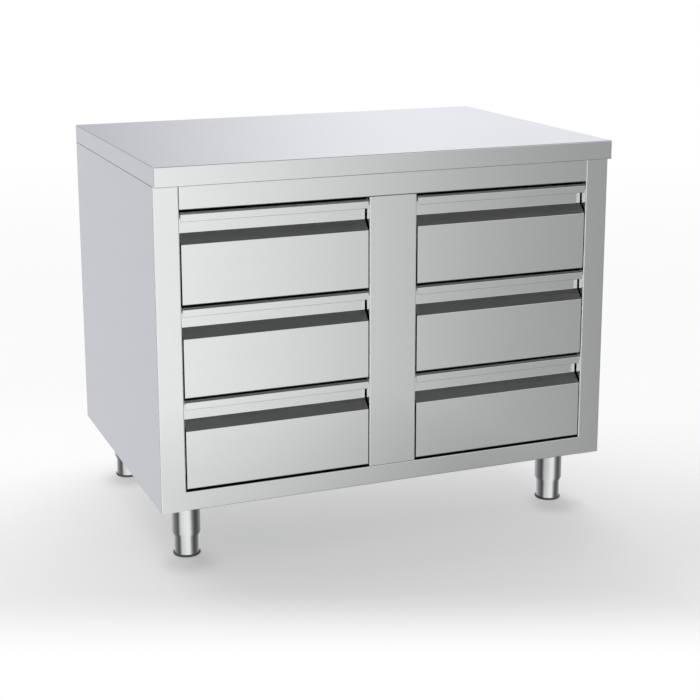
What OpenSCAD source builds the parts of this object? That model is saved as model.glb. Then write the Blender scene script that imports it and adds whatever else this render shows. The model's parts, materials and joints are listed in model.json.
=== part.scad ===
// Stainless steel work table with two columns of three drawers, on four adjustable legs.
// Millimetres, +Z up. The front faces -Y. The origin is on the floor, under the middle of the worktop.

/* [Worktop] */
// Width of the worktop and of the cabinet under it
top_w = 1000; // [900:10:1300]
// Depth of the worktop, front to back
top_d = 700; // [650:10:850]
// Height of the worktop's folded edge
top_edge_h = 40; // [34:1:60]
// How far the worktop stands out in front of the cabinet
top_overhang = 15; // [8:1:20]
// Thickness of the worktop's sheet
top_sheet = 1.2; // [1:0.1:1.5]
// Width of the lip that is folded in under the worktop's edge
top_lip = 35; // [32:1:45]
// Outer radius of the worktop's long bends
top_bend_r = 2; // [1.8:0.1:4]
// Radius of the worktop's four upright corners, seen from above
top_corner_r = 2; // [1.8:0.1:5]
// Thickness of the board glued under the worktop's sheet
core_t = 18; // [12:1:22]
// Clearance round the board
core_gap = 1; // [1:0.5:3]
// Width of each stiffening channel under the board
stiffener_w = 60; // [40:1:80]
// Distance between the two stiffening channels, centre to centre
stiffener_pitch = 300; // [200:10:400]
// Space between the ends of the stiffening channels and the lip
stiffener_gap = 1; // [0.5:0.5:4]

/* [Cabinet] */
// Height of the cabinet under the worktop
cabinet_h = 660; // [600:10:760]
// Thickness of the cabinet's sheet
sheet = 1; // [0.8:0.1:1.2]
// Outer radius of the cabinet's bends
bend_r = 2; // [1.8:0.1:3]
// Width of the posts at the two front corners
post_w = 51.5; // [46:0.5:60]
// Depth of the folds that run back from the posts and the centre panel
post_return = 25; // [22:1:30]
// Width of the centre panel between the two columns
centre_w = 104; // [90:1:140]
// Height of the rail over the drawers
top_rail_h = 47.5; // [40:0.5:60]
// Height of the rail under the drawers
bottom_rail_h = 40; // [35:1:60]
// Depth of the folds along the rails
rail_return = 20; // [19:1:24]
// Height of the edges turned up inside the rails
rail_hem = 9; // [6:1:12]
// Open seam where the top rail and the centre panel meet their neighbours
seam = 0.5; // [0.3:0.1:0.8]
// Width of the flanges round the side, back and divider sheets
edge_flange = 20; // [18:1:24]
// Width of the side panels' fold across the back
rear_return = 30; // [26:1:36]
// Width of the uprights that carry the outer rails
upright_w = 40; // [36:1:50]
// Space between the ends of the back panel's flanges and the side panels' flanges
flange_gap = 1; // [0.5:0.5:3]
// Clearance where one sheet is notched round another
notch_gap = 0.2; // [0.1:0.1:0.5]

/* [Floor channels] */
// Width of the channels across the cabinet's floor
channel_w = 88; // [86:1:96]
// Height of the channels
channel_h = 24; // [20:1:28]
// Thickness of the channels
channel_t = 1.5; // [1.2:0.1:2]

/* [Drawers] */
// Gap between the drawer fronts, and above and below them
front_gap = 5; // [3:0.5:6]
// Gap on each side of a drawer front
side_gap = 2.7; // [2.2:0.1:5]
// Thickness of the drawers' sheet
drawer_sheet = 1; // [0.8:0.1:1.2]
// Depth of the finger pocket
pocket_d = 20; // [17:1:22]
// Height from the drawer's top to the foot of the pocket's back wall
pocket_wall_h = 44; // [40:1:52]
// Height of the sloping ledge under the back wall
pocket_ledge_h = 20; // [16:1:24]
// Height of the lip that hangs in front of the pocket
lip_h = 19; // [16:1:24]
// Height and depth of the slope along the top of the lip
lip_slope = 4.5; // [3.5:0.5:6]
// Height of the folded edge inside the lip
lip_hem = 9; // [6:1:10]
// Height of the edge turned up inside the front's foot
foot_hem = 16; // [14:1:22]
// Clear space behind the drawer boxes
rear_space = 122; // [100:1:150]
// Height of the box's floor over the front's lower edge
box_lift = 12; // [10:1:18]
// Height from the box's rim to the front's top
box_drop = 24; // [20:1:40]
// Outer radius along the box's floor
box_bend_r = 4; // [3:0.5:6]
// Height of the folded rim round the box
rim_h = 10; // [8:1:14]

/* [Drawer rails] */
// Thickness of a rail set, from the cabinet to the box
rail_t = 13; // [12.7:0.1:14]
// Height of the cabinet rail
rail_h = 45; // [44:1:48]
// Thickness of the rails' steel
rail_steel = 1.2; // [1:0.1:1.4]
// Height of the rails' centre line over the box's floor
rail_lift = 60; // [50:1:70]
// How far the drawers pull out
drawer_travel = 500; // [400:10:520]
// Running clearance of the ball rows
ball_gap = 0.3; // [0.2:0.05:0.4]
// Depth of the space for one ball row
ball_space = 3.8; // [3.4:0.1:4.2]
// Clearance between the webs of two rails
web_gap = 1.5; // [1.2:0.1:1.8]

/* [Legs] */
// Height of the cabinet over the floor
leg_h = 127; // [120:1:150]
// Space between a leg's plate and the flange along the cabinet's side
plate_gap = 3; // [1:0.5:12]
// Leg's centre from the cabinet's front and back
leg_inset_y = 89; // [85:1:110]
// Outer diameter of the leg tube
leg_dia = 60.3; // [58:0.1:64]
// Wall of the leg tube
leg_wall = 1.5; // [1.2:0.1:1.8]
// Width of the square plate on the leg
plate_w = 100; // [96:1:104]
// Thickness of the plate
plate_t = 4; // [3:0.5:6]
// Distance between the plate's bolts
bolt_pitch = 64; // [62:1:70]
// Outer diameter of the threaded bush in the leg
bush_dia = 22; // [18:1:26]

/* [Feet] */
// Height of the foot that shows under the leg
foot_show = 43; // [36:1:50]
// Height of the leg's tapered end
taper_h = 7; // [5:1:12]
// Width of the leg's lower rim
leg_rim = 1; // [0.6:0.1:1.5]
// Height of the guide ring inside the leg's end
guide_h = 12; // [8:1:16]
// Outer diameter of the foot's sleeve
foot_dia = 51.5; // [48:0.1:53]
// Wall of the sleeve
foot_wall = 1.5; // [1.2:0.1:2]
// Thickness of the sleeve's closed end
foot_floor = 4; // [3:0.5:6]
// Sliding clearance between the sleeve and the leg
foot_gap = 0.3; // [0.2:0.05:0.5]
// Space between the end of the stem and the leg's plate
stem_gap = 1.6; // [0.8:0.2:3]
// Chamfer round the sleeve's end and the stem's end
foot_chamfer = 0.5; // [0.3:0.1:0.8]
// Diameter of the threaded stem
stem_dia = 12; // [10:1:16]
// Radial clearance of the stem in its bush
thread_gap = 0.08; // [0.04:0.01:0.1]
// How far the foot screws out
foot_travel = 50; // [40:1:55]
// Length of thread that stays in the bush when the foot is all the way out
thread_left = 20; // [15:1:25]
// Diameter of the plastic glide under the foot
glide_dia = 57; // [54:0.5:60]
// Thickness of the glide
glide_t = 4; // [3:0.5:6]
// Chamfer round the glide
glide_chamfer = 1; // [0.5:0.1:1.2]

/* [Fasteners] */
// Diameter of the leg bolts
bolt_dia = 6; // [5:1:6]
// Width across the flats of the bolts' heads and nuts
bolt_flats = 10; // [8:1:10]
// Height of a head or a nut
bolt_head_h = 4; // [3:0.5:5]
// Diameter of the worktop screws
screw_dia = 5; // [4:0.5:5]
// Diameter of the worktop screws' heads
screw_head_dia = 9; // [8:0.5:10]
// Distance of the inner worktop screws from the middle
screw_x_inner = 110; // [80:5:200]
// Distance of the outer worktop screws from the middle
screw_x_outer = 330; // [250:5:380]
// Diameter of the rail screws
pin_dia = 4; // [3:0.5:4]
// Diameter of the rail screws' flat heads
pin_head_dia = 8; // [7:0.5:9]
// Height of the rail screws' flat heads
pin_head_h = 0.9; // [0.7:0.1:1]
// Radial clearance round every bolt and screw
hole_gap = 0.2; // [0.1:0.05:0.3]

/* [Hidden] */
$fn = 48;
eps = 0.01;
SIDES = [-1, 1];
ROWS = [0, 1, 2];
ROW_NAMES = ["upper", "middle", "lower"];
COLUMN_NAMES = ["left", "right"];

half_w = top_w / 2;
front_y = -top_d / 2 + top_overhang;
back_y = top_d / 2;
base_z = leg_h;
cab_top = base_z + cabinet_h;
top_z = cab_top + top_edge_h;
core_z = top_z - top_sheet - core_t;

// Drawer openings
open_z0 = base_z + bottom_rail_h;
open_z1 = cab_top - top_rail_h;
open_w = half_w - post_w - centre_w / 2;
open_x = centre_w / 2 + open_w / 2;
inner_y = front_y + post_return;

// Drawer fronts and boxes, with depths counted from the cabinet's front
front_w = open_w - 2 * side_gap;
front_pitch = (open_z1 - open_z0 - front_gap) / len(ROWS);
front_h = front_pitch - front_gap;
box_y = pocket_d + drawer_sheet;
box_w = open_w - 2 * rail_t;
box_d = back_y - 2 * sheet - rear_space - front_y - box_y;
box_z0 = -front_h + box_lift;
box_z1 = -box_drop;
rail_z = box_z0 + rail_lift;

// Rails run as far back as the boxes do
rail_y0 = post_return + sheet;
rail_l = box_y + box_d - rail_y0;
ball_l = rail_l - drawer_travel / 2 - 2 * sheet;
middle_u = rail_steel + web_gap;
middle_h = rail_h - 2 * rail_steel - 2 * ball_space;
inner_h = middle_h - 2 * rail_steel - 2 * ball_space;
rear_upright_y = front_y + rail_y0 + rail_l - upright_w;
pin_ys = [inner_y + upright_w / 2, rear_upright_y + upright_w / 2];

// Legs
leg_x = half_w - sheet - edge_flange - plate_gap - plate_w / 2;
leg_ys = [front_y + leg_inset_y, back_y - leg_inset_y];
plate_z1 = base_z + sheet;
plate_z0 = plate_z1 - plate_t;
channel_z0 = base_z + 2 * sheet;
channel_z1 = channel_z0 + channel_h;
stem_z1 = plate_z0 - stem_gap;
bush_z0 = stem_z1 - foot_travel - thread_left;

screw_xs = [screw_x_inner, screw_x_outer];
screw_y_front = (front_y + sheet - top_d / 2 + top_lip) / 2;
screw_y_rear = back_y - 2 * sheet - edge_flange / 2;

steel = [0.78, 0.78, 0.79];
inner_steel = [0.7, 0.7, 0.71];
polished = [0.86, 0.86, 0.87];
zinc = [0.66, 0.67, 0.68];
board = [0.62, 0.52, 0.38];
plastic = [0.2, 0.2, 0.21];

function drawer_name(row, col, piece) =
    str(ROW_NAMES[row], "_", COLUMN_NAMES[col], "_", piece);
function leg_name(i, s, piece) =
    str(i == 0 ? "front_" : "rear_", s < 0 ? "left_" : "right_", piece);

// Unit vector from point a to point b
function unit(a, b) = (b - a) / norm(b - a);
// Direction of a vector, in degrees
function heading(v) = atan2(v[1], v[0]);
// An angle brought between -180 and 180
function wrapped(a) = a > 180 ? a - 360 : a < -180 ? a + 360 : a;
// Turn of a path at its point i, positive to the left
function turn(path, i) = wrapped(
    heading(unit(path[i], path[i + 1])) - heading(unit(path[i - 1], path[i])));
// Length of straight that the bend at point i takes on each side of the point
function tangent(path, radii, i) =
    i == 0 || i == len(path) - 1 ? 0 : radii[i] * tan(abs(turn(path, i)) / 2);
// The same bend radius for every point of a path
function even(path, r) = [for (p = path) r];

// Part of a ring that joins two straights of a folded sheet, keyed into both at mid-thickness
module bend_section(path, radii, t, i) {
    d = unit(path[i - 1], path[i]);
    d_next = unit(path[i], path[i + 1]);
    a = turn(path, i);
    left = [-d[1], d[0]];
    centre = path[i] - d * tangent(path, radii, i) + left * radii[i] * sign(a);
    start = heading(-left * sign(a));
    reach = 2 * (radii[i] + t);
    translate(centre)
        intersection() {
            difference() {
                circle(radii[i] + t / 2);
                circle(radii[i] - t / 2);
            }
            polygon([[0, 0], for (k = [0 : 2])
                reach * [cos(start + a * k / 2), sin(start + a * k / 2)]]);
        }
    translate(path[i] - d * tangent(path, radii, i)) rotate(heading(d)) square(t / 2, center = true);
    translate(path[i] + d_next * tangent(path, radii, i))
        rotate(heading(d_next)) square(t / 2, center = true);
}

// Section of a sheet folded along a path through the middle of its thickness
module folded_section(path, radii, t) {
    for (i = [0 : len(path) - 2]) {
        d = unit(path[i], path[i + 1]);
        a = path[i] + d * tangent(path, radii, i);
        b = path[i + 1] - d * tangent(path, radii, i + 1);
        translate(a) rotate(heading(d)) translate([0, -t / 2]) square([norm(b - a), t]);
    }
    for (i = [1 : len(path) - 2])
        bend_section(path, radii, t, i);
}

// Extrudes a (y, z) section along x, centred
module along_x(length) {
    translate([-length / 2, 0, 0]) rotate([90, 0, 90]) linear_extrude(length) children();
}

// Extrudes an (x, z) section along y, from y = 0
module along_y(length) {
    translate([0, length, 0]) rotate([90, 0, 0]) linear_extrude(length) children();
}

// A box from its lowest to its highest corner
module block(low, high) {
    translate(low) cube(high - low);
}

// Rectangle hung from z = 0, with its corners rounded
module rounded(w, h, r) {
    translate([-w / 2, -h + r]) square([w, h - 2 * r]);
    translate([-w / 2 + r, -h]) square([w - 2 * r, h]);
    for (s = SIDES, z = [-r, r - h]) translate([s * (w / 2 - r), z]) circle(r);
}

// Block hung from z = 0 and centred in y, with the long edges of its top and bottom rounded
module rounded_block(w, d, h, r) {
    intersection() {
        translate([0, -d / 2, 0]) along_y(d) rounded(w, h, r);
        along_x(w) rounded(d, h, r);
    }
}

// Upright block with rounded corners in plan, hung from z = 0
module round_cornered_block(w, d, h, r) {
    translate([0, 0, -h]) linear_extrude(h) union() {
        square([w - 2 * r, d], center = true);
        square([w, d - 2 * r], center = true);
        for (x = SIDES, y = SIDES) translate([x * (w / 2 - r), y * (d / 2 - r)]) circle(r);
    }
}

// The worktop's fixing screws stand at these places
module at_worktop_screws() {
    for (s = SIDES, x = screw_xs, y = [screw_y_front, screw_y_rear])
        translate([s * x, y, cab_top - sheet]) children();
}

// The legs' bolts stand at these places, on the plate's underside
module at_leg_bolts() {
    for (s = SIDES, y = leg_ys, a = SIDES, b = SIDES)
        translate([s * leg_x + a * bolt_pitch / 2, y + b * bolt_pitch / 2, plate_z0]) children();
}

// Side s of column col, with x running from the cabinet's wall towards the drawer
module at_rail_side(col, s) {
    translate([(2 * col - 1) * open_x + s * open_w / 2, 0, 0])
        mirror([s > 0 ? 1 : 0, 0, 0]) children();
}

// The rail screws of one side of a column, with x running towards the drawer
module at_rail_screws(col, s, ys) {
    at_rail_side(col, s)
        for (row = ROWS, y = ys)
            translate([0, y, row_top(row) + rail_z]) children();
}

// Height of a drawer's top
function row_top(row) = open_z1 - front_gap - row * front_pitch;

module worktop() {
    color(steel)
        difference() {
            translate([0, 0, top_z])
                intersection() {
                    rounded_block(top_w, top_d, top_edge_h, top_bend_r);
                    round_cornered_block(top_w, top_d, top_edge_h, top_corner_r);
                }
            translate([0, 0, top_z - top_sheet])
                intersection() {
                    rounded_block(top_w - 2 * top_sheet, top_d - 2 * top_sheet,
                        top_edge_h - 2 * top_sheet, top_bend_r - top_sheet);
                    round_cornered_block(top_w - 2 * top_sheet, top_d - 2 * top_sheet,
                        top_edge_h - 2 * top_sheet, top_corner_r - top_sheet);
                }
            block([-half_w + top_lip, -top_d / 2 + top_lip, cab_top - 1],
                [half_w - top_lip, top_d / 2 - top_lip, cab_top + top_sheet + 1]);
            at_worktop_screws()
                cylinder(h = sheet + 2 * top_sheet, r = screw_dia / 2 + hole_gap);
        }
}

module worktop_core() {
    x = half_w - top_sheet - core_gap;
    y = top_d / 2 - top_sheet - core_gap;
    color(board) block([-x, -y, core_z], [x, y, core_z + core_t]);
}

module worktop_stiffeners() {
    w = stiffener_w / 2 - sheet / 2;
    path = [[-w, core_z], [-w, cab_top + sheet / 2], [w, cab_top + sheet / 2], [w, core_z]];
    color(inner_steel)
        for (s = SIDES)
            translate([0, s * stiffener_pitch / 2, 0])
                along_x(2 * (half_w - top_lip - stiffener_gap))
                    folded_section(path, even(path, bend_r - sheet / 2), sheet);
}

// Left side panel, with the post across the front and the fold across the back. Beside the bottom
// rail the post has no fold: its face runs flat up to the rail's end.
module side_panel() {
    x0 = -half_w + sheet / 2;
    x1 = -half_w + post_w - sheet / 2;
    post_x = -half_w + post_w;
    y0 = front_y + sheet / 2;
    y1 = back_y - sheet / 2;
    path = [[-half_w + rear_return, y1], [x0, y1], [x0, y0], [x1, y0], [x1, inner_y]];
    flange_x = -half_w + sheet + edge_flange;
    color(steel) {
        difference() {
            translate([0, 0, base_z]) linear_extrude(cabinet_h)
                folded_section(path, even(path, bend_r - sheet / 2), sheet);
            block([post_x - bend_r, front_y - sheet, base_z - sheet],
                [post_x + sheet, inner_y + sheet, open_z0]);
        }
        block([post_x - 2 * bend_r, front_y, base_z], [post_x, front_y + sheet, open_z0]);
        for (z = [base_z, cab_top - sheet])
            block([-half_w + sheet / 2, inner_y, z], [flange_x, back_y - 2 * sheet, z + sheet]);
        block([-half_w + sheet / 2, front_y + sheet / 2, base_z],
            [post_x, front_y + rail_return, base_z + sheet]);
        block([-half_w + sheet / 2, front_y + sheet, base_z], [post_x - sheet, inner_y, base_z + sheet]);
    }
}

module back_panel() {
    y0 = back_y - 2 * sheet - edge_flange;
    y1 = back_y - 3 * sheet / 2;
    z0 = base_z + sheet / 2;
    z1 = cab_top - sheet / 2;
    path = [[y0, z0], [y1, z0], [y1, z1], [y0, z1]];
    flange_w = 2 * (half_w - sheet - edge_flange - flange_gap);
    color(steel)
        difference() {
            intersection() {
                along_x(2 * (half_w - bend_r))
                    folded_section(path, even(path, bend_r - sheet / 2), sheet);
                union() {
                    block([-flange_w / 2, y0 - 1, base_z - 1], [flange_w / 2, back_y, cab_top + 1]);
                    block([-half_w, back_y - 2 * sheet, base_z + bend_r],
                        [half_w, back_y, cab_top - bend_r]);
                }
            }
            at_worktop_screws()
                translate([0, 0, -sheet]) cylinder(h = 3 * sheet, r = screw_dia / 2 + hole_gap);
        }
}

module bottom_panel() {
    x = half_w - sheet;
    color(inner_steel)
        difference() {
            block([-x, front_y + bend_r, base_z + sheet],
                [x, back_y - sheet - bend_r, base_z + 2 * sheet]);
            for (s = SIDES)
                translate([s * half_w, 0, 0])
                    block([-post_w - notch_gap, front_y, base_z],
                        [post_w + notch_gap, inner_y + notch_gap, channel_z1]);
            at_leg_bolts()
                cylinder(h = plate_t + 3 * sheet, r = bolt_dia / 2 + hole_gap);
        }
}

module top_rail() {
    y0 = front_y + sheet / 2;
    y1 = front_y + rail_return;
    z0 = open_z1 + sheet / 2;
    z1 = cab_top - sheet / 2;
    path = [[y1, z1], [y0, z1], [y0, z0], [y1 - sheet / 2, z0], [y1 - sheet / 2, open_z1 + rail_hem]];
    color(steel)
        difference() {
            along_x(2 * (half_w - post_w - seam))
                folded_section(path, even(path, bend_r - sheet / 2), sheet);
            at_worktop_screws()
                translate([0, 0, -sheet]) cylinder(h = 3 * sheet, r = screw_dia / 2 + hole_gap);
        }
}

module bottom_rail() {
    y0 = front_y + sheet / 2;
    y1 = front_y + rail_return;
    z0 = base_z + sheet / 2;
    z1 = open_z0 - sheet / 2;
    path = [[y1, z0], [y0, z0], [y0, z1], [y1 - sheet / 2, z1], [y1 - sheet / 2, open_z0 - rail_hem]];
    color(steel)
        along_x(2 * (half_w - post_w))
            folded_section(path, even(path, bend_r - sheet / 2), sheet);
}

module centre_panel() {
    x = centre_w / 2 - sheet / 2;
    y0 = front_y + sheet / 2;
    path = [[-x, inner_y], [-x, y0], [x, y0], [x, inner_y]];
    color(steel)
        translate([0, 0, open_z0 + seam])
            linear_extrude(open_z1 - open_z0 - 2 * seam)
                folded_section(path, even(path, bend_r - sheet / 2), sheet);
}

// Left divider: the wall behind the centre panel that carries the left column's inner rails
module divider() {
    x = -centre_w / 2;
    y1 = back_y - 2 * sheet;
    flange_x = x + edge_flange;
    flange_y = y1 - edge_flange - notch_gap;
    color(inner_steel)
        difference() {
            union() {
                block([x, inner_y, channel_z1], [x + sheet, y1, cab_top]);
                block([x, y1 - sheet, channel_z1], [flange_x, y1, cab_top]);
                block([x, inner_y, channel_z1], [flange_x, y1, channel_z1 + sheet]);
                block([x, inner_y, cab_top - sheet], [flange_x, flange_y, cab_top]);
            }
            block([x - 1, flange_y, cab_top - bend_r], [flange_x + 1, back_y, cab_top + 1]);
            at_rail_screws(0, 1, pin_ys)
                rotate([0, -90, 0]) cylinder(h = 3 * sheet, r = pin_dia / 2 + hole_gap);
        }
}

// Left upright i: the front one stands behind the post, the rear one near the rails' rear ends
module upright(i) {
    y0 = [inner_y, rear_upright_y][i];
    x0 = -half_w + sheet;
    x1 = -half_w + post_w - sheet / 2;
    path = [[x0, y0 + sheet / 2], [x1, y0 + sheet / 2],
        [x1, y0 + upright_w - sheet / 2], [x0, y0 + upright_w - sheet / 2]];
    color(inner_steel)
        difference() {
            translate([0, 0, open_z0]) linear_extrude(cab_top - sheet - open_z0)
                folded_section(path, even(path, bend_r - sheet / 2), sheet);
            at_rail_screws(0, -1, [pin_ys[i]])
                rotate([0, -90, 0]) cylinder(h = 3 * sheet, r = pin_dia / 2 + hole_gap);
        }
}

// Channel across the cabinet's floor over a pair of legs
module floor_channel(i) {
    w = channel_w / 2 - channel_t / 2;
    z1 = channel_z1 - channel_t / 2;
    path = [[-w, channel_z0], [-w, z1], [w, z1], [w, channel_z0]];
    color(inner_steel)
        translate([0, leg_ys[i], 0])
            along_x(2 * (half_w - sheet))
                folded_section(path, even(path, channel_t), channel_t);
}

// Section of a channel rail with its web at x = 0: height h, depth d, opening towards +x
module channel_section(h, d) {
    translate([0, -h / 2]) square([rail_steel, h]);
    for (s = SIDES)
        translate([0, s * (h / 2 - rail_steel / 2) - rail_steel / 2]) square([d, rail_steel]);
}

// One cabinet rail, with its web on x = 0 and its front end at y = 0
module cabinet_rail() {
    depth = rail_t - ball_space;
    lip = ball_space / 2;
    color(zinc)
        difference() {
            along_y(rail_l) {
                channel_section(rail_h, depth);
                for (s = SIDES)
                    translate([depth - rail_steel, s * (rail_h / 2 - lip / 2 - rail_steel) - lip / 2])
                        square([rail_steel, lip]);
            }
            for (y = pin_ys)
                translate([-eps, y - front_y - rail_y0, 0])
                    rotate([0, 90, 0]) cylinder(h = rail_steel + 2 * eps, r = pin_dia / 2 + hole_gap);
        }
}

// One intermediate rail with its ball rows: the outer rows at its rear, the inner rows at its front
module intermediate_rail() {
    depth = rail_t - rail_steel - middle_u - ball_gap;
    row_w = ball_space;
    row_h = ball_space - ball_gap;
    color(zinc) {
        translate([middle_u, 0, 0]) along_y(rail_l) channel_section(middle_h, depth);
        for (s = SIDES) {
            translate([middle_u, rail_l - ball_l, 0])
                along_y(ball_l) translate([0, s * (middle_h / 2 + row_h / 2) - row_h / 2])
                    square([row_w, row_h]);
            translate([middle_u + depth - row_w, 0, 0])
                along_y(ball_l) translate([0, s * (inner_h / 2 + ball_gap + row_h / 2) - row_h / 2])
                    square([row_w, row_h]);
        }
    }
}

// One drawer rail, with its web against the box
module drawer_rail() {
    depth = rail_t - middle_u - rail_steel - web_gap;
    color(zinc)
        translate([rail_t, 0, 0]) mirror([1, 0, 0]) along_y(rail_l) channel_section(inner_h, depth);
}

module cabinet_rails(col) {
    for (row = ROWS, s = SIDES)
        at_rail_side(col, s)
            translate([0, front_y + rail_y0, row_top(row) + rail_z]) cabinet_rail();
}

module intermediate_rails(row, col) {
    for (s = SIDES)
        at_rail_side(col, s)
            translate([0, front_y + rail_y0, row_top(row) + rail_z]) intermediate_rail();
}

module drawer_rails(row, col) {
    for (s = SIDES)
        at_rail_side(col, s)
            translate([0, front_y + rail_y0, row_top(row) + rail_z]) drawer_rail();
}

// Drawer front folded from one sheet: hanging lip, pocket wall, ledge, face and foot
module drawer_front(row, col) {
    t = drawer_sheet;
    y0 = t / 2;
    y1 = pocket_d + t / 2;
    ledge_z = -pocket_wall_h - pocket_ledge_h;
    hem_z = -lip_h + t;
    slope = lip_slope + (sqrt(2) - 1) * t / 2;
    path = [[y1, -front_h + foot_hem], [y1, -front_h + t / 2], [y0, -front_h + t / 2],
        [y0, ledge_z], [y1, -pocket_wall_h], [y1, -t / 2], [slope, -t / 2], [y0, -slope], [y0, hem_z]];
    color(steel)
        translate([(2 * col - 1) * open_x, front_y, row_top(row)]) {
            along_x(front_w) {
                folded_section(path, even(path, bend_r - t / 2), t);
                translate([0, hem_z]) square([2 * t, lip_hem]);
                translate([t, hem_z]) circle(t);
            }
            for (s = SIDES)
                translate([s * (front_w / 2 - t / 2), 0, 0])
                    along_x(t) polygon([[y0, -front_h + t / 2], [y1 + t / 2, -front_h + t / 2],
                        [y1 + t / 2, -pocket_wall_h - t], [y0, ledge_z - t]]);
        }
}

module drawer_box(row, col) {
    t = drawer_sheet;
    h = box_z1 - box_z0;
    color(inner_steel)
        translate([(2 * col - 1) * open_x, front_y + box_y, row_top(row) + box_z0]) {
            difference() {
                translate([0, box_d / 2, 2 * h]) rounded_block(box_w, box_d, 2 * h, box_bend_r);
                translate([0, box_d / 2, 3 * h])
                    rounded_block(box_w - 2 * t, box_d - 2 * t, 3 * h - t, box_bend_r - t);
                block([-box_w, -box_d, h], [box_w, 2 * box_d, 3 * h]);
            }
            difference() {
                block([-box_w / 2 - t, 0, h - rim_h], [box_w / 2 + t, box_d + t, h]);
                block([-box_w / 2 + t / 2, -1, h - rim_h - 1], [box_w / 2 - t / 2, box_d - t / 2, h + 1]);
            }
        }
}

// Leg: square plate, tube, tapered end and the guide ring inside it
module leg(i, s) {
    r = leg_dia / 2;
    bore = foot_dia / 2 + foot_gap;
    z1 = foot_show + taper_h;
    color(polished)
        translate([s * leg_x, leg_ys[i], 0]) {
            rotate_extrude()
                polygon([[bore, foot_show], [bore + leg_rim, foot_show], [r, z1], [r, plate_z0],
                    [r - leg_wall, plate_z0], [r - leg_wall, z1 + guide_h], [bore, z1 + guide_h]]);
            difference() {
                block([-plate_w / 2, -plate_w / 2, plate_z0], [plate_w / 2, plate_w / 2, plate_z1]);
                for (a = SIDES, b = SIDES)
                    translate([a * bolt_pitch / 2, b * bolt_pitch / 2, plate_z0 - 1])
                        cylinder(h = plate_t + 2, r = bolt_dia / 2 + hole_gap);
            }
        }
}

// Foot: sleeve with a closed end and the threaded stem that turns in the leg's bush
module foot(i, s) {
    r = foot_dia / 2;
    chamfer = foot_chamfer;
    z1 = plate_z0 - foot_gap;
    color(polished)
        translate([s * leg_x, leg_ys[i], 0])
            rotate_extrude()
                polygon([[0, glide_t], [r - chamfer, glide_t], [r, glide_t + chamfer], [r, z1],
                    [r - foot_wall, z1], [r - foot_wall, glide_t + foot_floor],
                    [stem_dia / 2, glide_t + foot_floor], [stem_dia / 2, stem_z1 - chamfer],
                    [stem_dia / 2 - chamfer, stem_z1], [0, stem_z1]]);
}

// Round plastic glide under a foot
module glide(i, s) {
    r = glide_dia / 2;
    chamfer = glide_chamfer;
    color(plastic)
        translate([s * leg_x, leg_ys[i], 0])
            rotate_extrude()
                polygon([[0, 0], [r - chamfer, 0], [r, chamfer], [r, glide_t - chamfer],
                    [r - chamfer, glide_t], [0, glide_t]]);
}

// Threaded bushes that hang from the legs' plates
module leg_bushes() {
    color(zinc)
        for (s = SIDES, y = leg_ys)
            translate([s * leg_x, y, bush_z0])
                difference() {
                    cylinder(h = plate_z0 - bush_z0, r = bush_dia / 2);
                    translate([0, 0, -1])
                        cylinder(h = plate_z0 - bush_z0 + 2, r = stem_dia / 2 + thread_gap);
                }
}

// Bolts through the legs' plates, and their nuts on the cabinet's floor
module leg_bolts() {
    hex_r = bolt_flats / 2 / cos(30);
    nut_z = plate_t + sheet;
    color(zinc)
        at_leg_bolts() {
            translate([0, 0, -bolt_head_h]) cylinder(h = bolt_head_h, r = hex_r, $fn = 6);
            translate([0, 0, -eps])
                cylinder(h = nut_z + bolt_head_h + bolt_dia / 2, r = bolt_dia / 2);
            difference() {
                translate([0, 0, nut_z]) cylinder(h = bolt_head_h, r = hex_r, $fn = 6);
                translate([0, 0, nut_z - 1])
                    cylinder(h = bolt_head_h + 2, r = bolt_dia / 2 + thread_gap);
            }
        }
}

// Screws from inside the cabinet up through the worktop's lip, and their nuts on the lip
module worktop_screws() {
    head_h = screw_dia / 2;
    nut_z = sheet + top_sheet;
    nut_h = 0.8 * screw_dia;
    color(zinc)
        at_worktop_screws() {
            translate([0, 0, -head_h]) cylinder(h = head_h, r = screw_head_dia / 2);
            translate([0, 0, -eps]) cylinder(h = nut_z + nut_h + screw_dia / 2, r = screw_dia / 2);
            difference() {
                translate([0, 0, nut_z]) cylinder(h = nut_h, r = screw_head_dia / 2, $fn = 6);
                translate([0, 0, nut_z - 1])
                    cylinder(h = nut_h + 2, r = screw_dia / 2 + thread_gap);
            }
        }
}

// Flat-headed screws that hold the cabinet rails to the uprights and dividers
module rail_screws() {
    color(zinc)
        for (col = [0, 1], s = SIDES)
            at_rail_screws(col, s, pin_ys)
                rotate([0, 90, 0]) {
                    translate([0, 0, rail_steel]) cylinder(h = pin_head_h, r = pin_head_dia / 2);
                    translate([0, 0, -pin_dia]) cylinder(h = pin_dia + rail_steel + eps, r = pin_dia / 2);
                }
}

worktop();
worktop_core();
worktop_stiffeners();
side_panel();  // left_side_panel
mirror([1, 0, 0]) side_panel();  // right_side_panel
back_panel();
bottom_panel();
top_rail();
bottom_rail();
centre_panel();
divider();  // left_divider
mirror([1, 0, 0]) divider();  // right_divider
upright(0);  // left_front_upright
upright(1);  // left_rear_upright
mirror([1, 0, 0]) upright(0);  // right_front_upright
mirror([1, 0, 0]) upright(1);  // right_rear_upright
floor_channel(0);  // front_floor_channel
floor_channel(1);  // rear_floor_channel
cabinet_rails(0);  // left_cabinet_rails
cabinet_rails(1);  // right_cabinet_rails
leg_bushes();
leg_bolts();
worktop_screws();
rail_screws();
for (i = [0, 1], s = SIDES) {
    leg(i, s);
    foot(i, s);
    glide(i, s);
}
for (row = ROWS, col = [0, 1]) {
    drawer_front(row, col);
    drawer_box(row, col);
    drawer_rails(row, col);
    intermediate_rails(row, col);
}
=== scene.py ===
import json
import math

import bmesh
import bpy
from mathutils import Matrix, Vector


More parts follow.
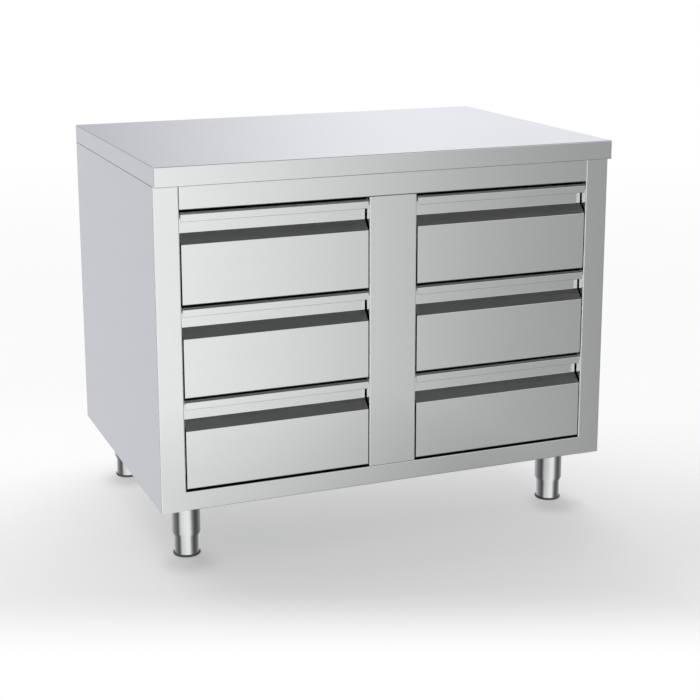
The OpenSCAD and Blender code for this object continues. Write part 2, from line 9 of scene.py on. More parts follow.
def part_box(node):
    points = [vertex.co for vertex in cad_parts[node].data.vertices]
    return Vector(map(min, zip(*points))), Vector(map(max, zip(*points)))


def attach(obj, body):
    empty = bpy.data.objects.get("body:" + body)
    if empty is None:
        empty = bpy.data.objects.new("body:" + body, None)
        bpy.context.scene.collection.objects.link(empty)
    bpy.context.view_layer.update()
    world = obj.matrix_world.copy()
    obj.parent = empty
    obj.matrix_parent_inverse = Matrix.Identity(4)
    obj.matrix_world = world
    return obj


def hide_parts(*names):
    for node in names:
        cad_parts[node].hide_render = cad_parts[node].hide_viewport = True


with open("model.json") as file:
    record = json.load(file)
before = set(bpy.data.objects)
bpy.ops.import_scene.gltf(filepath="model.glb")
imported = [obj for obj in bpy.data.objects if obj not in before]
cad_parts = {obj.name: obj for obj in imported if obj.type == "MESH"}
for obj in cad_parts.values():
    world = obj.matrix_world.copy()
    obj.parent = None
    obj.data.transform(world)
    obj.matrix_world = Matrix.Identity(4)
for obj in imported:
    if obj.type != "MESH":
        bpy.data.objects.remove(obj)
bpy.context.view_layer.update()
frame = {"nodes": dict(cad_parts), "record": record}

NODES = frame["nodes"]
ROWS, COLUMNS = ("upper", "middle", "lower"), ("left", "right")

# Plane of the cabinet's front, and the depth over which a finish changes there
FRONT_Y, FRONT_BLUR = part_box("top_rail")[0][1], 0.001

# Camera, found from the photograph: where its upright and level edges meet, and the worktop's size
FOCAL_PX = 1512.1
CENTRE_PX = (352.68, 268.54)
IMAGE_PX = 700
SENSOR_MM = 36
EYE = Vector((-1.2092, -3.1047, 1.2611))
YAW, PITCH, ROLL = math.radians(22.015), math.radians(-12.575), math.radians(-0.07)
VIEW_END = 200

# Studio that the metal reflects: dark all round, with soft panels that add light to it. Directions are
# in degrees from straight in front of the table towards its right. Each panel has the direction of its
# middle, how far it is full to each side of that, how wide its soft edges are on the side of smaller
# and of larger degrees, and the light that it adds. The two dim ones keep the table's sides from going
# dark where they are looked at straight on.
DARK = 0.12
PANELS = {
    "wide one in front": (-26, 26, 34, 56, 0.78),
    "bright part in it": (8, 6, 62, 16, 0.33),
    "dim one on the right": (95, 5, 20, 20, 0.12),
    "behind on the right": (153, 1, 64, 21, 0.82),
    "behind on the left": (189, 1, 38, 62, 0.61),
    "dim one on the left": (-115, 5, 20, 20, 0.09),
}

# Tints of the studio in front and behind, and between which depths of a direction they change
FRONT_TINT, BACK_TINT = (0.978, 1.0, 0.997, 1), (0.962, 0.98, 1.037, 1)
TINT_CHANGE = (-0.4, 0.6)

# Soft ceiling over the studio: brightness low down and overhead, the heights of a direction between
# which that changes, and the share by which it is brighter on the right and darker on the left
CEILING_LOW, CEILING_TOP, CEILING_SLOPE = 0.82, 0.62, 0.12
CEILING_HEIGHTS = (0.1, 1.0)

# Heights between which the ceiling takes over in front and beside, and behind the table, and the
# depths of a direction between which behind turns into beside
TAKEOVER_FRONT, TAKEOVER_BEHIND, BEHIND = (0.0, 0.12), (0.35, 0.65), (0.75, 0.5)

# Two dark boards hang high up in front, one to each side, and darken what slopes towards them: where
# they hang, their brightness, and the cosines of the angles from their middle where they start and
# are full
FLAG_TURN, FLAG_HEIGHT = math.radians(60), math.radians(62)
FLAG_LEVEL = 0.09
FLAG_EDGE = (0.891, 0.956)

# Even light for all that isn't metal, and the lamp, which the metal doesn't show
AMBIENT = 0.354
LAMP_AT, LAMP_TOWARDS, LAMP_SIZE, LAMP_POWER = (0, 1.93, 2.3), (0, -0.1, 0.2), 5, 95

# Floor: half its width, its colour and what it gives off near the table, and the white that it fades to
FLOOR_HALF, FLOOR_COLOUR, FLOOR_GLOW, WHITE = 60, (0.8, 0.8, 0.8, 1), 0.34, 0.955

# Distances from the table's middle, along the camera's view or all round, between which the floor
# fades to that white, and those between which the white goes on to full
FADE_BEHIND, FADE_IN_FRONT, FADE_ROUND = (-0.45, 0.85), (-0.56, -0.86), (0.8, 1.3)
FULL_BEHIND, FULL_IN_FRONT = (2.0, 5.5), (-0.5, -0.9)

# Painted shade in what the metal reflects, for the floor's shadow close to the table: how much of the
# studio the metal still sees over the floor there, the block that counts as close, how much faster this
# ends beside it than in front, and where it has ended
CLOSE_LEVEL, CLOSE_CENTRE, CLOSE_HALF = 0.74, (0, -0.2, 0), (0.3, 0.3, 1)
CLOSE_STRETCH, CLOSE_REACH = (3, 1, 0), 0.9

# Painted shade of each foot on the floor, put to the front because the lamp stands behind: where its
# middle lies from the foot's, how far from there it starts and is full, and its strength
SHADE_SHIFT, SHADE_START, SHADE_FULL, SHADE_STRENGTH = (-0.01, -0.035, 0), 0.1, 0.02, 0.28

# Faces behind the front that look down, or back where asked, and the ledges under the finger pockets: how
# much rougher than the rest they are, and their brightness under painted shade as a share of the rest's
DULL_ROUGHER, DULL_PAINTED_SHADE = 0.3, 0.55
LEDGE_ROUGHER, LEDGE_PAINTED_SHADE = 0.16, 0.7

# Grain of the ground sheet: its lines for each metre along and across it
GRAIN_ALONG, GRAIN_ACROSS = 7, 1100

# Share of its slope that the legs' tapered end keeps in what it reflects: its bends are blended
TAPER_EASE = 0.2

# Ball rails between drawer and cabinet, in metres: sheet, depth from web to flange end, the square
# that a ball row fills, the strip that holds the balls, their distance along the rail, the rail's bend
# and what a row is shorter than the rails' overlap
RAIL_STEEL, RAIL_DEPTH, ROW_W, ROW_H = 0.0012, 0.0088, 0.0038, 0.0035
CAGE_T, BALL_PITCH, RAIL_BEND, ROW_SHORT = 0.0008, 0.02, 0.002, 0.002

# Bolts of the legs, in metres: width of the head, its height, thickness of plate and floor together,
# the thread's diameter and pitch, and how far the bolts stand from the leg's middle each way
HEAD_FLATS, HEAD_H, CLAMPED, BOLT_DIA, THREAD = 0.01, 0.004, 0.005, 0.006, 0.001
BOLT_REACH = 0.032

# Round end face of a head or nut, as a share of its width
END_FACE = 0.97

# Welds of the legs: the tube's diameter and the bead's size in metres, the bead's section as (out from
# the tube, up from the plate) in bead sizes, its steps round the tube, and how much they swell
TUBE_DIA, BEAD = 0.0603, 0.002
BEAD_SECTION = [(-0.3, 0.2), (-0.3, -1), (0.25, -0.85), (0.7, -0.6), (0.95, -0.2), (1.05, 0.2)]
WELD_STEPS, RIPPLE = 90, 0.12


def make_camera():
    forward = Vector((math.sin(YAW) * math.cos(PITCH), math.cos(YAW) * math.cos(PITCH), math.sin(PITCH)))
    right = Vector((math.cos(YAW), -math.sin(YAW), 0))
    up = right.cross(forward)
    turned_right = right * math.cos(ROLL) + up * math.sin(ROLL)
    turned_up = up * math.cos(ROLL) - right * math.sin(ROLL)
    data = bpy.data.cameras.new("camera")
    data.sensor_width = SENSOR_MM
    data.lens = SENSOR_MM * FOCAL_PX / IMAGE_PX
    data.shift_x = (IMAGE_PX / 2 - CENTRE_PX[0]) / IMAGE_PX
    data.shift_y = (CENTRE_PX[1] - IMAGE_PX / 2) / IMAGE_PX
    data.clip_end = VIEW_END
    camera = bpy.data.objects.new("camera", data)
    bpy.context.scene.collection.objects.link(camera)
    axes = Matrix((turned_right, turned_up, -forward)).transposed()
    camera.matrix_world = Matrix.Translation(EYE) @ axes.to_4x4()
    bpy.context.scene.camera = camera


class Tree:
    """Short calls for building a node tree."""

    def __init__(self, tree):
        self.tree = tree
        tree.nodes.clear()

    def node(self, kind, inputs=None, **settings):
        n = self.tree.nodes.new(kind)
        for key, value in settings.items():
            setattr(n, key, value)
        for key, value in (inputs or {}).items():
            self.put(n.inputs[key], value)
        return n

    def put(self, socket, value):
        if isinstance(value, bpy.types.NodeSocket):
            self.tree.links.new(value, socket)
        else:
            socket.default_value = value

    def math(self, operation, a, b=0.0):
        return self.node("ShaderNodeMath", {0: a, 1: b}, operation=operation).outputs[0]

    def plus(self, a, b):
        return self.math("ADD", a, b)

    def times(self, a, b):
        return self.math("MULTIPLY", a, b)

    def larger(self, a, b):
        return self.math("MAXIMUM", a, b)

    def wrapped(self, value, low, high):
        """The value, moved by whole turns into the range from low to high."""
        return self.node("ShaderNodeMath", {0: value, 1: high, 2: low}, operation="WRAP").outputs[0]

    def vector(self, operation, a, b=(0, 0, 0), output="Vector"):
        return self.node("ShaderNodeVectorMath", {0: a, 1: b}, operation=operation).outputs[output]

    def dot(self, a, b):
        return self.vector("DOT_PRODUCT", a, b, "Value")

    def length(self, a):
        return self.vector("LENGTH", a, output="Value")

    def parts(self, vector):
        """The three numbers of a vector."""
        return self.node("ShaderNodeSeparateXYZ", {0: vector}).outputs

    def ramp(self, value, low, high, out_low=0.0, out_high=1.0):
        """Soft step from out_low at low to out_high at high."""
        return self.node("ShaderNodeMapRange", {0: value, 1: low, 2: high, 3: out_low, 4: out_high},
                         interpolation_type="SMOOTHSTEP").outputs[0]

    def straight(self, value, low, high, out_low=0.0, out_high=1.0):
        """Straight line from out_low at low to out_high at high, level beyond both."""
        return self.node("ShaderNodeMapRange",
                         {0: value, 1: low, 2: high, 3: out_low, 4: out_high}).outputs[0]

    def spread(self, noise, low, high):
        """Low to high over the range that a noise mostly keeps to."""
        return self.ramp(noise, 0.3, 0.7, low, high)

    def spread_sum(self, a, b, low, high):
        """Low to high over the range that the sum of two noises mostly keeps to."""
        return self.ramp(self.plus(a, b), 0.7, 1.3, low, high)

    def mix(self, factor, a, b):
        return self.node("ShaderNodeMix", {0: factor, 2: a, 3: b}).outputs[0]

    def blend(self, factor, a, b, kind="MIX"):
        return self.node("ShaderNodeMix", {0: factor, 6: a, 7: b}, data_type="RGBA",
                         blend_type=kind).outputs[2]

    def noise(self, vector, scale=1.0, detail=2.0, roughness=0.5):
        return self.node("ShaderNodeTexNoise", {"Vector": vector, "Scale": scale, "Detail": detail,
                                                "Roughness": roughness}).outputs[0]

    def stretched(self, vector, scale, turn=(0, 0, 0)):
        return self.node("ShaderNodeMapping", {"Vector": vector, "Scale": scale,
                                               "Rotation": turn}).outputs[0]

    def source(self, kind, strength, colour=(1, 1, 1, 1)):
        """Light of an Emission or a Background."""
        return self.node("ShaderNode" + kind, {"Color": colour, "Strength": strength}).outputs[0]

    def mix_shader(self, factor, a, b):
        return self.node("ShaderNodeMixShader", {0: factor, 1: a, 2: b}).outputs[0]

    def output(self, shader, kind="Material"):
        self.node("ShaderNodeOutput" + kind, {"Surface": shader})


def studio_level(t, x, y):
    """Brightness of the studio in a level direction."""
    turn = t.times(t.math("ARCTAN2", x, t.times(y, -1.0)), math.degrees(1))
    level = DARK
    for middle, full, edge_before, edge_after, light in PANELS.values():
        off = t.wrapped(t.math("SUBTRACT", turn, middle), -180, 180)
        share = t.times(t.ramp(off, -full - edge_before, -full), t.ramp(off, full + edge_after, full))
        level = t.plus(level, t.times(share, light))
    return level


def with_ceiling(t, level, x, y, z):
    """The studio's brightness, with the soft ceiling over it."""
    lean = t.straight(x, -1.0, 1.0, 1 - CEILING_SLOPE, 1 + CEILING_SLOPE)
    ceiling = t.times(t.ramp(z, *CEILING_HEIGHTS, CEILING_LOW, CEILING_TOP), lean)
    not_behind = t.times(t.ramp(z, *TAKEOVER_FRONT), t.ramp(y, *BEHIND))
    return t.mix(t.larger(t.ramp(z, *TAKEOVER_BEHIND), not_behind), level, ceiling)


def with_flags(t, level, x, y, z):
    """The studio's brightness, with the two dark boards in it."""
    flag = (math.sin(FLAG_TURN) * math.cos(FLAG_HEIGHT), -math.cos(FLAG_TURN) * math.cos(FLAG_HEIGHT),
            math.sin(FLAG_HEIGHT))
    either_side = t.node("ShaderNodeCombineXYZ", {0: t.math("ABSOLUTE", x), 1: y, 2: z}).outputs[0]
    return t.mix(t.ramp(t.dot(either_side, flag), *FLAG_EDGE), level, FLAG_LEVEL)


def make_world():
    """The studio that the metal reflects, and an even light for all that isn't metal."""
    world = bpy.data.worlds.new("studio")
    bpy.context.scene.world = world
    world.use_nodes = True
    t = Tree(world.node_tree)
    x, y, z = t.parts(t.node("ShaderNodeTexCoord").outputs["Generated"])
    level = with_flags(t, with_ceiling(t, studio_level(t, x, y), x, y, z), x, y, z)
    tint = t.blend(t.ramp(y, *TINT_CHANGE), FRONT_TINT, BACK_TINT)
    path = t.node("ShaderNodeLightPath").outputs
    metal_light = t.source("Background", level, tint)
    lit = t.mix_shader(path["Is Glossy Ray"], t.source("Background", AMBIENT), metal_light)
    clear = t.larger(path["Is Camera Ray"], path["Is Transmission Ray"])
    t.output(t.mix_shader(clear, lit, t.source("Background", 1.0)), "World")


def unshaded(t, place):
    """1 on the open floor and less by the feet, where their shade is painted; they stand at four mirrored
    places.
    """
    low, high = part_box("rear_right_glide")
    foot = ((low[0] + high[0]) / 2, (low[1] + high[1]) / 2, 0)
    mirrored = t.vector("ABSOLUTE", t.vector("SUBTRACT", place, SHADE_SHIFT))
    distance = t.length(t.vector("SUBTRACT", mirrored, foot))
    shade = t.math("POWER", t.ramp(distance, SHADE_START, SHADE_FULL), 2.0)
    return t.math("SUBTRACT", 1.0, t.times(shade, SHADE_STRENGTH))


def floor_as_seen(t, place, seen):
    """Pale near the table, with its shadow, and white further away."""
    away = t.dot(place, (math.sin(YAW), math.cos(YAW), 0))
    white = t.larger(t.ramp(away, *FADE_BEHIND), t.ramp(away, *FADE_IN_FRONT))
    white = t.larger(white, t.ramp(t.length(place), *FADE_ROUND))
    open_floor = unshaded(t, place)
    pale = t.node("ShaderNodeBsdfDiffuse", {"Color": FLOOR_COLOUR}).outputs[0]
    own = t.source("Emission", t.times(t.times(seen, FLOOR_GLOW), open_floor))
    near = t.node("ShaderNodeAddShader", {0: pale, 1: own}).outputs[0]
    brightness = t.larger(t.ramp(away, *FULL_BEHIND, WHITE, 1.0), t.ramp(away, *FULL_IN_FRONT, WHITE, 1.0))
    glow = t.source("Emission", t.times(brightness, open_floor))
    return t.mix_shader(t.times(white, seen), near, glow)


def level_over_floor(t, place):
    """Share of the studio that the metal sees over the floor, less close to the table, where shade is
    painted.
    """
    apart = t.vector("ABSOLUTE", t.vector("SUBTRACT", place, CLOSE_CENTRE))
    beside = t.vector("MAXIMUM", t.vector("SUBTRACT", apart, CLOSE_HALF))
    gap = t.length(t.vector("MULTIPLY", beside, CLOSE_STRETCH))
    return t.straight(gap, 0.0, CLOSE_REACH, CLOSE_LEVEL, 1.0)


def make_floor():
    """A pale floor that keeps the shadow near the table and turns white further away.

    It is clear from below, where the underside of the table is looked at, and clear for the metal, which
    reflects the studio through it, with painted shade close to the table for the floor's shadow there."""
    mesh = bpy.data.meshes.new("floor")
    r = FLOOR_HALF
    mesh.from_pydata([(-r, -r, 0), (r, -r, 0), (r, r, 0), (-r, r, 0)], [], [(0, 1, 2, 3)])
    floor = bpy.data.objects.new("floor", mesh)
    bpy.context.scene.collection.objects.link(floor)
    material, t = new_material("floor")
    place = t.node("ShaderNodeTexCoord").outputs["Object"]
    path = t.node("ShaderNodeLightPath").outputs
    shown = floor_as_seen(t, place, t.larger(path["Is Camera Ray"], path["Is Transmission Ray"]))
    below = t.node("ShaderNodeNewGeometry").outputs["Backfacing"]
    # Painted shade that the metal sees through the floor close to the table
    dimming = t.mix(below, level_over_floor(t, place), 1.0)
    clear = t.node("ShaderNodeBsdfTransparent", {"Color": dimming}).outputs[0]
    t.output(t.mix_shader(t.larger(path["Is Glossy Ray"], below), shown, clear))
    mesh.materials.append(material)


def make_lamp():
    """A wide soft lamp behind and over the table, which the metal doesn't reflect."""
    data = bpy.data.lights.new("overhead", "AREA")
    data.shape = "RECTANGLE"
    data.size = LAMP_SIZE
    data.size_y = LAMP_SIZE
    data.energy = LAMP_POWER
    lamp = bpy.data.objects.new("overhead", data)
    lamp.location = LAMP_AT
    lamp.rotation_euler = (Vector(LAMP_TOWARDS) - Vector(LAMP_AT)).to_track_quat("-Z", "Y").to_euler()
    bpy.context.scene.collection.objects.link(lamp)
    lamp.visible_glossy = False


def new_material(name):
    material = bpy.data.materials.new(name)
    material.use_nodes = True
    return material, Tree(material.node_tree)


def edges(t, radius):
    """1 on sharp outer and inner edges, 0 elsewhere, and the normal with those edges rounded."""
    rounded = t.node("ShaderNodeBevel", {"Radius": radius}, samples=4).outputs[0]
    flat = t.node("ShaderNodeNewGeometry").outputs["Normal"]
    return t.ramp(t.dot(rounded, flat), 0.99, 0.8), rounded


def metal(t, colour, shade, gloss, height, bump, depth, normal=None):
    tint = t.blend(1.0, (*colour, 1), shade, "MULTIPLY")
    relief = t.node("ShaderNodeBump", {"Strength": bump, "Distance": depth, "Height": height})
    if normal:
        t.put(relief.inputs["Normal"], normal)
    surface = t.node("ShaderNodeBsdfPrincipled", {"Base Color": tint, "Metallic": 1.0, "Roughness": gloss,
                                                  "Normal": relief.outputs[0]})
    t.output(surface.outputs[0])


def ground_sheet(name, colour=(0.75, 0.75, 0.75), roughness=0.14, bump=0.05, dressed=0.0, painted_bend_highlight=0.0,
                 back_dull_and_shade=0.0):
    """Stainless sheet ground to a fine level grain, with faint wipe marks and brighter edges.

    Behind the front's plane, faces that look down, such as the pockets' ceilings, are rougher and carry
    painted shade, and the sloping ledges are a little rougher and carry painted shade too, for the dark
    that they reflect. Faces that look back get the same by back_dull_and_shade. Upright corners are
    rougher by dressed, because their welds are dressed by hand, and bends at the front carry a painted
    highlight by painted_bend_highlight."""
    material, t = new_material(name)
    coordinates = t.node("ShaderNodeTexCoord").outputs
    place = coordinates["Object"]
    right, back, up = t.parts(coordinates["Normal"])
    side_part, back_part, up_part = (t.math("ABSOLUTE", part) for part in (right, back, up))
    bent = t.ramp(t.larger(t.larger(side_part, back_part), up_part), 0.995, 0.9)
    upright = t.ramp(up_part, 0.3, 0.1)
    upright_lines = t.noise(t.stretched(place, (GRAIN_ALONG, GRAIN_ALONG, GRAIN_ACROSS)), detail=3.0)
    lying_lines = t.noise(t.stretched(place, (GRAIN_ALONG, GRAIN_ACROSS, GRAIN_ALONG)), detail=3.0)
    lines = t.mix(t.ramp(up_part, 0.6, 0.8), upright_lines, lying_lines)
    clouds = t.noise(place, 3.5)
    wipes = t.noise(t.stretched(place, (5, 5, 22), (0.5, 0.35, 0.2)), detail=4.0, roughness=0.6)
    worn = edges(t, 0.0005)[0]
    inside = t.ramp(t.parts(place)[1], FRONT_Y - FRONT_BLUR, FRONT_Y)
    # Faces behind the front that look down, or back, are made rougher and get painted shade
    dull_and_shaded = t.larger(t.times(t.ramp(up, -0.55, -0.8), inside), t.times(t.ramp(back, 0.6, 0.8), back_dull_and_shade))
    ledge = t.times(t.times(t.ramp(up, 0.3, 0.5), t.ramp(up, 0.97, 0.9)), inside)
    wiped = t.ramp(wipes, 0.4, 0.7, -0.008, 0.02)
    gloss = t.plus(t.spread(lines, roughness - 0.025, roughness + 0.025), wiped)
    gloss = t.plus(gloss, t.times(dull_and_shaded, DULL_ROUGHER))
    gloss = t.plus(gloss, t.times(ledge, LEDGE_ROUGHER))
    gloss = t.plus(gloss, t.times(t.times(bent, upright), dressed))
    shade = t.plus(t.spread_sum(lines, clouds, 0.985, 1.0), t.times(worn, 0.08))
    # Painted shade darkening those faces and the ledges under the finger pockets
    shade = t.times(shade, t.mix(dull_and_shaded, 1.0, DULL_PAINTED_SHADE))
    shade = t.times(shade, t.mix(ledge, 1.0, LEDGE_PAINTED_SHADE))
    # Painted highlight that brightens the bends at the front
    front_bend = t.times(bent, t.ramp(back, -0.1, -0.3))
    shade = t.times(shade, t.mix(front_bend, 1.0, 1.0 + painted_bend_highlight))
    metal(t, colour, shade, gloss, lines, bump, 0.0002)
    return material


def mill_sheet(name, colour=(0.66, 0.66, 0.67), roughness=0.28):
    """Stainless sheet as it leaves the mill: dull, faintly cloudy, with soft rolling marks."""
    material, t = new_material(name)
    place = t.node("ShaderNodeTexCoord").outputs["Object"]
    rolled = t.noise(t.stretched(place, (2, 60, 60)), detail=3.0)
    grain = t.noise(place, 900.0)
    clouds = t.noise(place, 9.0, 3.0)
    worn, rounded = edges(t, 0.0006)
    gloss = t.plus(t.spread(clouds, roughness - 0.04, roughness + 0.04), t.spread(rolled, -0.02, 0.02))
    shade = t.plus(t.spread_sum(rolled, clouds, 0.95, 1.0), t.times(worn, 0.06))
    metal(t, colour, shade, gloss, grain, 0.03, 0.0001, rounded)
    return material


def turned_steel(name, colour=(0.75, 0.75, 0.75), roughness=0.08):
    """Polished tube with fine rings round it, and its tapered end blended softly into the sleeve."""
    material, t = new_material(name)
    place = t.node("ShaderNodeTexCoord").outputs["Object"]
    rings = t.noise(t.stretched(place, (12, 12, 1500)), detail=3.0)
    clouds = t.noise(place, 14.0, 3.0)
    worn = edges(t, 0.0005)[0]
    cloudy = t.ramp(clouds, 0.4, 0.7, -0.01, 0.015)
    gloss = t.plus(t.spread(rings, roughness - 0.02, roughness + 0.02), cloudy)
    shade = t.plus(t.spread_sum(rings, clouds, 0.98, 1.0), t.times(worn, 0.06))
    flat = t.node("ShaderNodeNewGeometry").outputs["Normal"]
    eased = t.vector("NORMALIZE", t.vector("MULTIPLY", flat, (1, 1, TAPER_EASE)))
    metal(t, colour, shade, gloss, rings, 0.04, 0.0002, eased)
    return material


def zinc(name, colour=(0.60, 0.61, 0.64), roughness=0.3, scale=70.0):
    """Zinc plate: a bluish grey that changes a little from patch to patch."""
    material, t = new_material(name)
    place = t.node("ShaderNodeTexCoord").outputs["Object"]
    patches = t.noise(place, scale, 4.0, 0.6)
    grain = t.noise(place, scale * 18)
    worn, rounded = edges(t, 0.0004)
    gloss = t.plus(t.spread(patches, roughness - 0.06, roughness + 0.06), t.spread(grain, -0.02, 0.02))
    shade = t.plus(t.spread(patches, 0.9, 1.0), t.times(worn, 0.12))
    metal(t, colour, shade, gloss, grain, 0.08, 0.0001, rounded)
    return material


def plain(t, tint, gloss, height, bump, depth):
    """Surface that isn't metal."""
    relief = t.node("ShaderNodeBump", {"Strength": bump, "Distance": depth, "Height": height})
    surface = t.node("ShaderNodeBsdfPrincipled", {"Base Color": tint, "Roughness": gloss,
                                                  "Normal": relief.outputs[0]})
    t.output(surface.outputs[0])


def pressed_board(name):
    """Pressed board: flat wood chips in several browns, dull and slightly rough."""
    material, t = new_material(name)
    place = t.node("ShaderNodeTexCoord").outputs["Object"]
    chips = t.node("ShaderNodeTexVoronoi", {"Vector": t.stretched(place, (220, 220, 700)), "Scale": 1.0})
    tone = t.parts(chips.outputs["Color"])[0]
    tint = t.blend(tone, (0.33, 0.21, 0.11, 1), (0.56, 0.42, 0.26, 1))
    dust = t.noise(place, 1500.0)
    tint = t.blend(t.spread(dust, 0.0, 0.3), tint, (0.45, 0.33, 0.2, 1))
    plain(t, tint, t.spread(dust, 0.65, 0.85), tone, 0.3, 0.0003)
    return material


def moulded_plastic(name):
    """Dark plastic with a fine moulded grain, scuffed paler where it meets the floor."""
    material, t = new_material(name)
    place = t.node("ShaderNodeTexCoord").outputs["Object"]
    height = t.parts(place)[2]
    grain = t.noise(place, 1600.0, 3.0)
    marks = t.noise(t.stretched(place, (60, 60, 900)), detail=4.0, roughness=0.7)
    scuffed = t.times(t.ramp(marks, 0.45, 0.65), t.ramp(height, 0.0025, 0.0))
    tint = t.blend(scuffed, (0.14, 0.14, 0.142, 1), (0.24, 0.24, 0.24, 1))
    tint = t.blend(t.spread(grain, 0.0, 0.25), tint, (0.19, 0.19, 0.192, 1))
    gloss = t.plus(t.spread(grain, 0.3, 0.42), t.times(scuffed, 0.2))
    plain(t, tint, gloss, grain, 0.2, 0.0002)
    return material


MATERIALS = {
    # Bends at the outer sheet's front get a painted highlight
    "outer_sheet": ground_sheet("outer_sheet", dressed=0.7, painted_bend_highlight=0.3),
    # Faces of the fronts that look back are rougher and get painted shade
    "front_sheet": ground_sheet("front_sheet", back_dull_and_shade=0.6),
    "inner_sheet": mill_sheet("inner_sheet"),
    "rail_steel": zinc("rail_steel"),
    "leg_steel": turned_steel("leg_steel"),
    "fastener": zinc("fastener", (0.58, 0.58, 0.6), 0.28, 160.0),
    "core_board": pressed_board("core_board"),
    "glide": moulded_plastic("glide"),
}


def dress():
    """Each CAD node gets the material that the record's slot names."""
    slots = {s["node"]: s["material_slot"] for s in frame["record"]["subparts"]}
    for name, o in NODES.items():
        for slot in o.material_slots:
            slot.material = MATERIALS[slots[name]]
        if not o.material_slots:
            o.data.materials.append(MATERIALS[slots[name]])


class Shape:
    """Points and faces of one piece, built from lofts between rings of points."""

    def __init__(self):
        self.points, self.faces, self.smooth = [], [], []

    def loft(self, rings, closed=False, smooth=True):
        """Skin over rings with as many points each; closed joins the last ring to the first."""
        start, n = len(self.points), len(rings[0])
        for ring in rings:
            self.points += ring
        pairs = [(i, i + 1) for i in range(len(rings) - 1)]
        if closed:
            pairs.append((len(rings) - 1, 0))
        for a, b in pairs:
            first, second = start + a * n, start + b * n
            for k in range(n):
                j = (k + 1) % n
                self.faces.append([first + k, first + j, second + j, second + k])
                self.smooth.append(smooth)
        if not closed:
            for ring in (0, len(rings) - 1):
                self.faces.append([start + ring * n + k for k in range(n)])
                self.smooth.append(False)

    def piece(self, name, slot, body, replaced=None):
        mesh = bpy.data.meshes.new(name)
        mesh.from_pydata(self.points, [], self.faces)
        mesh.polygons.foreach_set("use_smooth", self.smooth)
        filled = bmesh.new()
        filled.from_mesh(mesh)
        bmesh.ops.recalc_face_normals(filled, faces=filled.faces)
        filled.to_mesh(mesh)
        filled.free()
        o = bpy.data.objects.new(name, mesh)
        bpy.context.scene.collection.objects.link(o)
        mesh.materials.append(MATERIALS[slot])
        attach(o, body)
        if replaced:
            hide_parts(replaced)


def circle(centre, radius, n=24):
    """Level ring of n points."""
    return [(centre[0] + radius * math.cos(2 * math.pi * k / n),
             centre[1] + radius * math.sin(2 * math.pi * k / n), centre[2]) for k in range(n)]


def hexagon(centre, flats, n=24):
    """Level hexagon of n points, as wide as flats between its flat sides."""
    ring = []
    for k in range(n):
        turn = 2 * math.pi * k / n
        radius = flats / 2 / math.cos((turn + math.pi / 6) % (math.pi / 3) - math.pi / 6)
        ring.append((centre[0] + radius * math.cos(turn), centre[1] + radius * math.sin(turn), centre[2]))
    return ring


def add_ball(shape, centre, radius, around=8, levels=5):
    rings = []
    for k in range(levels):
        lift = math.pi * (k + 0.5) / levels
        rings.append(circle((centre[0], centre[1], centre[2] - radius * math.cos(lift)),
                            radius * math.sin(lift), around))
    shape.loft(rings)


def rounded_corner(centre, radius, start, steps=4):
    """Quarter of a circle from start degrees on, turning to the left."""
    turns = [math.radians(start + 90 * k / steps) for k in range(steps + 1)]
    return [(centre[0] + radius * math.cos(turn), centre[1] + radius * math.sin(turn)) for turn in turns]


def rail_section(height):
    """Section of the intermediate rail, open to the right, with bent corners."""
    h, t, r = height / 2, RAIL_STEEL, RAIL_BEND
    top = [(RAIL_DEPTH, h)] + rounded_corner((r, h - r), r, 90)
    bottom = rounded_corner((r, r - h), r, 180) + [(RAIL_DEPTH, -h), (RAIL_DEPTH, t - h)]
    inner_bottom = rounded_corner((r, r - h), r - t, 180)[::-1]
    inner_top = rounded_corner((r, h - r), r - t, 90)[::-1]
    return top + bottom + inner_bottom + inner_top + [(RAIL_DEPTH, h - t)]


def add_ball_row(shape, place, u, v, start, end):
    """Strip of sheet with a row of balls in it."""
    strip = [(u, v - CAGE_T / 2), (u + ROW_W, v - CAGE_T / 2), (u + ROW_W, v + CAGE_T / 2),
             (u, v + CAGE_T / 2)]
    shape.loft([[place(a, y, b) for a, b in strip] for y in (start, end)], smooth=False)
    count = int((end - start) / BALL_PITCH)
    for k in range(count):
        y = (start + end) / 2 + (k - (count - 1) / 2) * BALL_PITCH
        add_ball(shape, place(u + ROW_W / 2, y, v), ROW_H / 2)


def add_rail(shape, wall, inwards, low, high, travel):
    """Intermediate rail with its web at wall, two rows of balls outside it and two inside."""
    height = high[2] - low[2] - 2 * ROW_H
    middle = (high[2] + low[2]) / 2
    row_l = high[1] - low[1] - travel - ROW_SHORT
    outer, inner = height / 2 + ROW_H / 2, height / 2 - RAIL_STEEL - ROW_H / 2

    def place(u, y, v):
        return (wall + inwards * u, y, middle + v)

    section = rail_section(height)
    shape.loft([[place(u, y, v) for u, v in section] for y in (low[1], high[1])], smooth=False)
    for side in (-1, 1):
        add_ball_row(shape, place, 0, side * outer, high[1] - row_l, high[1])
        add_ball_row(shape, place, RAIL_DEPTH - ROW_W, side * inner, low[1], low[1] + row_l)


def make_ball_rails():
    """Intermediate rails with their balls, in place of the plain ones."""
    ranges = {j["name"]: j["range_m"] for j in frame["record"]["behaviour"]["joints"]}
    for row in ROWS:
        for column in COLUMNS:
            name = row + "_" + column
            low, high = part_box(name + "_intermediate_rails")
            travel = ranges[name + "_intermediate_slide"][1]
            shape = Shape()
            add_rail(shape, low[0], 1, low, high, travel)
            add_rail(shape, high[0], -1, low, high, travel)
            shape.piece(name + "_ball_rails", "rail_steel", name + "_intermediate",
                        name + "_intermediate_rails")


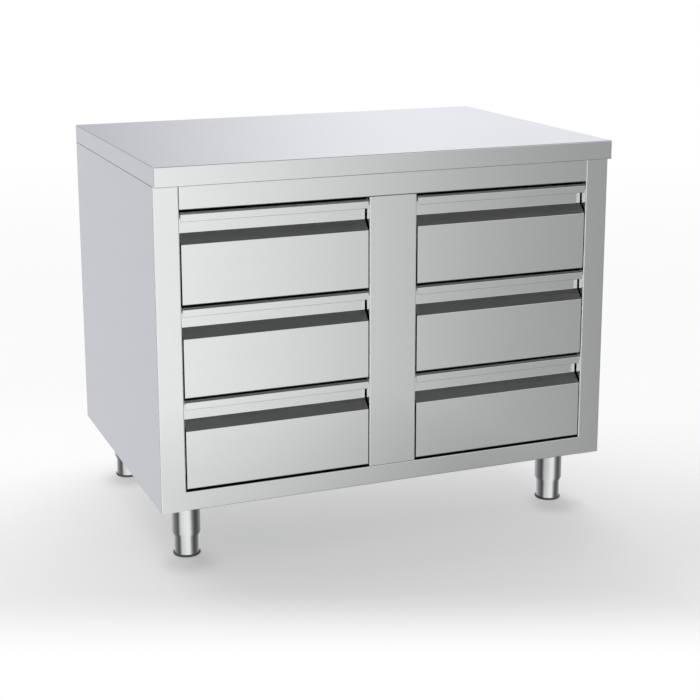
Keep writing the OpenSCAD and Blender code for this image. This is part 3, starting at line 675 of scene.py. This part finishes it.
def add_hexagon(shape, x, y, low, high, low_cut, high_cut):
    """Hexagonal head or nut, with its corners cut off by a cone at one end or both."""
    cut = (HEAD_FLATS / math.cos(math.pi / 6) - HEAD_FLATS) / 2
    rings = [hexagon((x, y, low + cut * low_cut), HEAD_FLATS)]
    rings.append(hexagon((x, y, high - cut * high_cut), HEAD_FLATS))
    if low_cut:
        rings.insert(0, circle((x, y, low), HEAD_FLATS / 2 * END_FACE))
    if high_cut:
        rings.append(circle((x, y, high), HEAD_FLATS / 2 * END_FACE))
    shape.loft(rings, smooth=False)


def add_thread(shape, x, y, plate, start, end):
    """Plain shank from the plate to start, then a thread, whose ridges are level rings, up to end."""
    rings = [circle((x, y, plate), BOLT_DIA / 2)]
    for k in range(int((end - start) / THREAD * 2 + 0.5)):
        rings.append(circle((x, y, start + k * THREAD / 2), BOLT_DIA / 2 - (k % 2) * THREAD / 2))
    rings.append(circle((x, y, end), BOLT_DIA / 2 - THREAD / 2))
    shape.loft(rings, smooth=False)


def leg_axes():
    """Name and middle of each leg."""
    for end in ("front", "rear"):
        for side in COLUMNS:
            low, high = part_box(end + "_" + side + "_leg")
            yield end + "_" + side, (low[0] + high[0]) / 2, (low[1] + high[1]) / 2


def make_leg_bolts():
    """Bolts with threads and nuts that hold the legs' plates, in place of the plain ones."""
    low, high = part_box("leg_bolts")
    plate = low[2] + HEAD_H
    nut = plate + CLAMPED
    shape = Shape()
    for _, leg_x, leg_y in leg_axes():
        for a in (-1, 1):
            for b in (-1, 1):
                x, y = leg_x + a * BOLT_REACH, leg_y + b * BOLT_REACH
                add_hexagon(shape, x, y, low[2], plate, 1, 0)
                add_hexagon(shape, x, y, nut, nut + HEAD_H, 1, 1)
                add_thread(shape, x, y, plate, nut, high[2])
    shape.piece("leg_bolts_threaded", "fastener", "cabinet", "leg_bolts")


def make_leg_welds():
    """Rippled bead of weld in the corner between each leg's tube and its plate."""
    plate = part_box("leg_bolts")[0][2] + HEAD_H
    for name, leg_x, leg_y in leg_axes():
        rings = []
        for k in range(WELD_STEPS):
            turn = 2 * math.pi * k / WELD_STEPS
            size = BEAD * (1 + RIPPLE * math.cos(math.pi * k))
            ring = []
            for u, v in BEAD_SECTION:
                radius = TUBE_DIA / 2 + size * u
                ring.append((leg_x + radius * math.cos(turn), leg_y + radius * math.sin(turn),
                             plate + size * v))
            rings.append(ring)
        shape = Shape()
        shape.loft(rings, closed=True)
        shape.piece(name + "_leg_weld", "leg_steel", "cabinet")


make_camera()
make_world()
make_floor()
make_lamp()
dress()
make_ball_rails()
make_leg_bolts()
make_leg_welds()
bpy.context.scene.view_settings.view_transform = "Standard"
